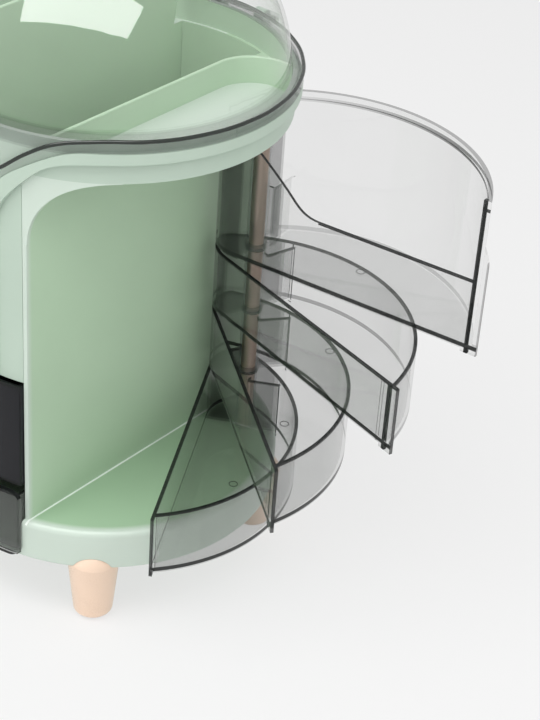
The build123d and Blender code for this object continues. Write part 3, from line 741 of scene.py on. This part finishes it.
class ORGANIZER_OT_legs(PieceOperator, bpy.types.Operator):
    """Finishes the four legs in satin rose plastic"""

    bl_idname = "organizer.legs"
    bl_label = "Legs"

    def execute(self, context):
        finish = satin_plastic("rose_plastic", self.colours.rose, self.sizes.leg_satin, self.sizes)
        finish.dress([f"leg_{number}" for number in LEGS])
        return {"FINISHED"}


class ORGANIZER_OT_posts(PieceOperator, bpy.types.Operator):
    """Finishes the posts in plated rose metal and their collars in smoky plastic"""

    bl_idname = "organizer.posts"
    bl_label = "Posts"

    def execute(self, context):
        plated = metal("rose_metal", post_streaks, self.colours.rose_metal,
                       darkest=0.9, lightest=1.06, smoothest=0.3, spread=0.14)
        plated.dress([f"post_{side}" for side in SIDES])
        collar = see_through_plastic("smoky_collars", self.colours.smoky, self.colours.smoky_edge,
                                     COLLAR_GLOSS, self.sizes, collar_pattern)
        collar.dress([f"post_collars_{side}" for side in SIDES])
        return {"FINISHED"}


class ORGANIZER_OT_rubber(PieceOperator, bpy.types.Operator):
    """Finishes the pads under the legs"""

    bl_idname = "organizer.rubber"
    bl_label = "Rubber pads"

    def execute(self, context):
        finish = satin_plastic("rubber", self.colours.rubber, self.sizes.pad_satin, self.sizes)
        finish.dress(["foot_pads"])
        return {"FINISHED"}


class ORGANIZER_OT_hardware(PieceOperator, bpy.types.Operator):
    """Finishes the studs and the hinge pin in plain steel"""

    bl_idname = "organizer.hardware"
    bl_label = "Hardware"

    def execute(self, context):
        size = self.sizes.wear
        steel = metal("steel", lambda finish: finish.noise(size), self.colours.steel,
                      darkest=0.85, lightest=1.0, smoothest=0.26, spread=0.2)
        steel.dress(["leg_studs", "hinge_pin"])
        return {"FINISHED"}


class ORGANIZER_OT_studio(PieceOperator, bpy.types.Operator):
    """Makes the pale floor, the soft light and the camera"""

    bl_idname = "organizer.studio"
    bl_label = "Studio"

    def execute(self, context):
        scene = context.scene
        studio = scene.organizer_studio
        scene.view_settings.view_transform = "Standard"
        scene.cycles.transparent_max_bounces = 48
        self.make_world(scene, studio)
        self.make_floor(scene, studio)
        for lamp in LAMPS:
            self.make_lamp(scene, lamp, getattr(studio, lamp.power))
        self.make_camera(scene, studio)
        return {"FINISHED"}

    def make_world(self, scene, studio):
        """Even light from all round, with the background colour where it is seen."""
        scene.world = bpy.data.worlds.new("studio_world")
        world = ShaderNodes(scene.world)
        light = world.node("ShaderNodeBackground", None, {"Color": WHITE, "Strength": studio.sky})
        plain = world.node("ShaderNodeBackground", None, {"Color": solid_colour(studio.background)})
        world.node("ShaderNodeOutputWorld", None, {"Surface": world.blend(world.seen(), light, plain)})

    def make_floor(self, scene, studio):
        """A wide pale floor that keeps a soft shadow of the object."""
        half = studio.floor_half
        mesh = bpy.data.meshes.new("floor")
        mesh.from_pydata([(-half, -half, 0), (half, -half, 0), (half, half, 0), (-half, half, 0)],
                         [], [(0, 1, 2, 3)])
        floor = bpy.data.objects.new("floor", mesh)
        scene.collection.objects.link(floor)
        finish = Finish("pale_floor")
        lit = finish.node("ShaderNodeBsdfDiffuse", None, {"Color": solid_colour(studio.background)})
        plain = finish.node("ShaderNodeEmission", None, {"Color": solid_colour(studio.floor_glow)})
        finish.surface(finish.blend(finish.seen() * studio.backdrop, lit, plain))
        mesh.materials.append(finish.material)

    def make_lamp(self, scene, lamp, watts):
        """A large flat lamp that shines at a point, turned about its own axis by its roll."""
        data = bpy.data.lights.new(lamp.name, "AREA")
        data.shape = "RECTANGLE"
        data.size, data.size_y = lamp.size
        data.energy = watts
        made = bpy.data.objects.new(lamp.name, data)
        aim = (Vector(lamp.target) - Vector(lamp.spot)).to_track_quat("-Z", "Y").to_matrix().to_4x4()
        roll = Matrix.Rotation(radians(lamp.roll), 4, "Z")
        made.matrix_world = Matrix.Translation(lamp.spot) @ aim @ roll
        for rays in lamp.missed_by:
            setattr(made, f"visible_{rays}", False)
        scene.collection.objects.link(made)

    def make_camera(self, scene, studio):
        """The camera at the photograph's place."""
        data = bpy.data.cameras.new("camera")
        data.lens = studio.lens
        data.sensor_width = studio.film
        camera = bpy.data.objects.new("camera", data)
        back = -Vector(studio.camera_aim).normalized()
        right = Vector(studio.camera_up).cross(back).normalized()
        up = back.cross(right)
        turned = Matrix((right, up, back)).transposed().to_4x4()
        camera.matrix_world = Matrix.Translation(studio.camera_spot) @ turned
        scene.collection.objects.link(camera)
        scene.camera = camera


OPERATORS = (
    ORGANIZER_OT_mint_shell, ORGANIZER_OT_swing_trays, ORGANIZER_OT_drawers, ORGANIZER_OT_dome_lid,
    ORGANIZER_OT_legs, ORGANIZER_OT_posts, ORGANIZER_OT_rubber, ORGANIZER_OT_hardware,
    ORGANIZER_OT_studio,
)


class ORGANIZER_PT_looks(bpy.types.Panel):
    """Lists the steps that dress the organizer"""

    bl_idname = "ORGANIZER_PT_looks"
    bl_label = "Makeup organizer"
    bl_space_type = "VIEW_3D"
    bl_region_type = "UI"
    bl_category = "Organizer"

    def draw(self, context):
        for operator in OPERATORS:
            self.layout.operator(operator.bl_idname)


CLASSES = (FinishColours, FinishSizes, StudioSettings, *OPERATORS, ORGANIZER_PT_looks)


def register():
    """Adds the classes and their settings."""
    for made in CLASSES:
        bpy.utils.register_class(made)
    bpy.types.Scene.organizer_colours = PointerProperty(type=FinishColours)
    bpy.types.Scene.organizer_sizes = PointerProperty(type=FinishSizes)
    bpy.types.Scene.organizer_studio = PointerProperty(type=StudioSettings)


def unregister():
    """Takes the classes and their settings away."""
    del bpy.types.Scene.organizer_studio
    del bpy.types.Scene.organizer_sizes
    del bpy.types.Scene.organizer_colours
    for made in reversed(CLASSES):
        bpy.utils.unregister_class(made)


def main():
    """Dresses the whole organizer."""
    register()
    for operator in OPERATORS:
        group, step = operator.bl_idname.split(".")
        getattr(getattr(bpy.ops, group), step)()


if __name__ == "__main__":
    main()
